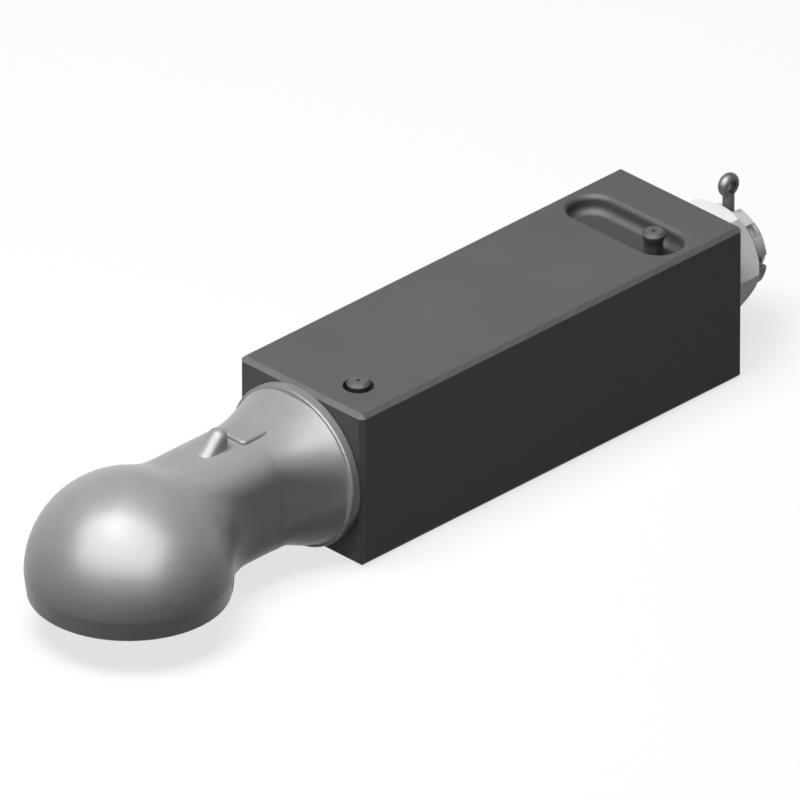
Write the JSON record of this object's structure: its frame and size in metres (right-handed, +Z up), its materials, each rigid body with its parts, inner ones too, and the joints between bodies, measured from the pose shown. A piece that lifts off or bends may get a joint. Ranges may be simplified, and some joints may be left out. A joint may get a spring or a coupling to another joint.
{
  "type": "trailer coupling head",
  "caption": "Swivelling ball coupling head for a trailer drawbar: forged ball cup on a shaft that turns in a square steel block, held by a castle nut and split pin, with grease nipples.",
  "frame": {"origin": "centre of the ball that the cup takes", "axes": "+X forward out of the cup end along the shaft, +Z up out of the block's top face, ball enters upwards from -Z"},
  "size_m": [0.5641, 0.1206, 0.1049],
  "materials": {
    "block_paint": "satin",
    "forged_steel": "satin",
    "bronze": "satin",
    "seal_rubber": "matte",
    "washer_steel": "satin",
    "zinc_steel": "satin",
    "pin_steel": "satin",
    "nipple_steel": "satin",
    "valve_steel": "polished"
  },
  "bodies": {
    "housing": {"housing_block": "block_paint", "front_bush": "bronze", "rear_bush": "bronze", "front_seal": "seal_rubber", "rear_seal": "seal_rubber", "front_thrust_washer": "washer_steel", "front_grease_nipple": "nipple_steel", "front_nipple_spring": "valve_steel", "rear_grease_nipple": "nipple_steel", "rear_nipple_spring": "valve_steel"},
    "head": {"coupling_head": "forged_steel", "rear_thrust_washer": "washer_steel", "castle_nut": "zinc_steel", "split_pin": "pin_steel"},
    "front_valve": {"front_nipple_ball": "valve_steel"},
    "rear_valve": {"rear_nipple_ball": "valve_steel"}
  },
  "joints": [
    {"name": "head_swivel", "type": "hinge", "parent": "housing", "child": "head", "pos_m": [-0.2932, 0, 0.0147], "axis": [1, 0, 0], "continuous": true},
    {"name": "front_valve_slide", "type": "slide", "parent": "housing", "child": "front_valve", "axis": [0, 0, 1], "range_m": [-0.001, 0], "stiffness_N_per_m": 400, "springref_m": 0.001, "deforming": ["front_nipple_spring"]},
    {"name": "rear_valve_slide", "type": "slide", "parent": "housing", "child": "rear_valve", "axis": [0, 0, 1], "range_m": [-0.001, 0], "stiffness_N_per_m": 400, "springref_m": 0.001, "deforming": ["rear_nipple_spring"]}
  ]
}
